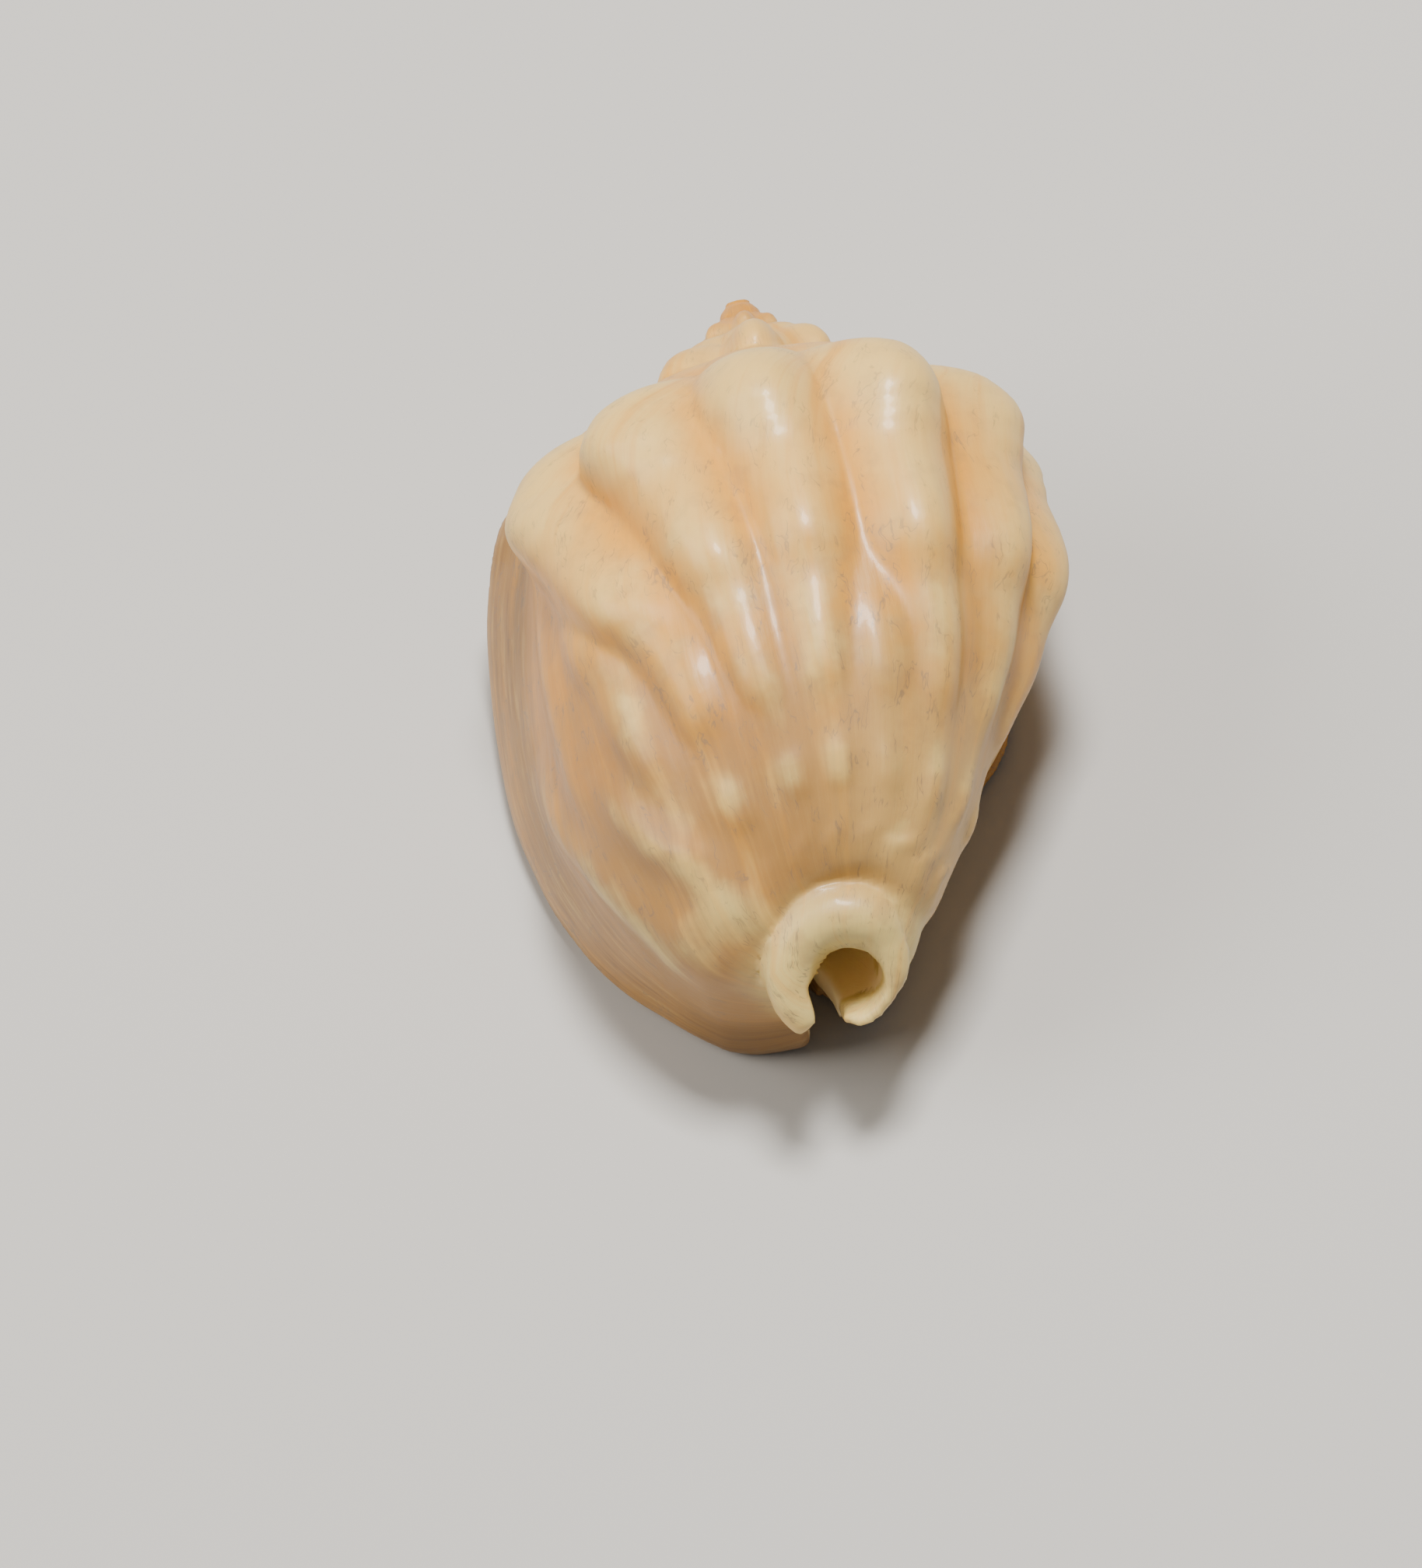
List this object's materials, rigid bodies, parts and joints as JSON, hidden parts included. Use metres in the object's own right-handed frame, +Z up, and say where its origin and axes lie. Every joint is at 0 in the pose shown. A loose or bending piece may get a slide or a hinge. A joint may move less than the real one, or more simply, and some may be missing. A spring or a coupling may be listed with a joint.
{
  "type": "helmet shell",
  "caption": "Helmet seashell with a low spire, a knobbed and ribbed last whorl, a thick outer lip, a narrow toothed aperture, a shield and a short recurved canal, lying on its aperture.",
  "frame": {"origin": "centre of the bounding box in plan, on the surface the shell lies on", "axes": "+Z up through the back of the shell, +Y along its length towards the apex, -Y towards the canal, +X away from the outer lip"},
  "size_m": [0.04, 0.0542, 0.0329],
  "materials": {
    "shell": "natural calcium carbonate, cream and tan, glossy like porcelain"
  },
  "bodies": {
    "root": {"shell": "shell"}
  },
  "joints": []
}
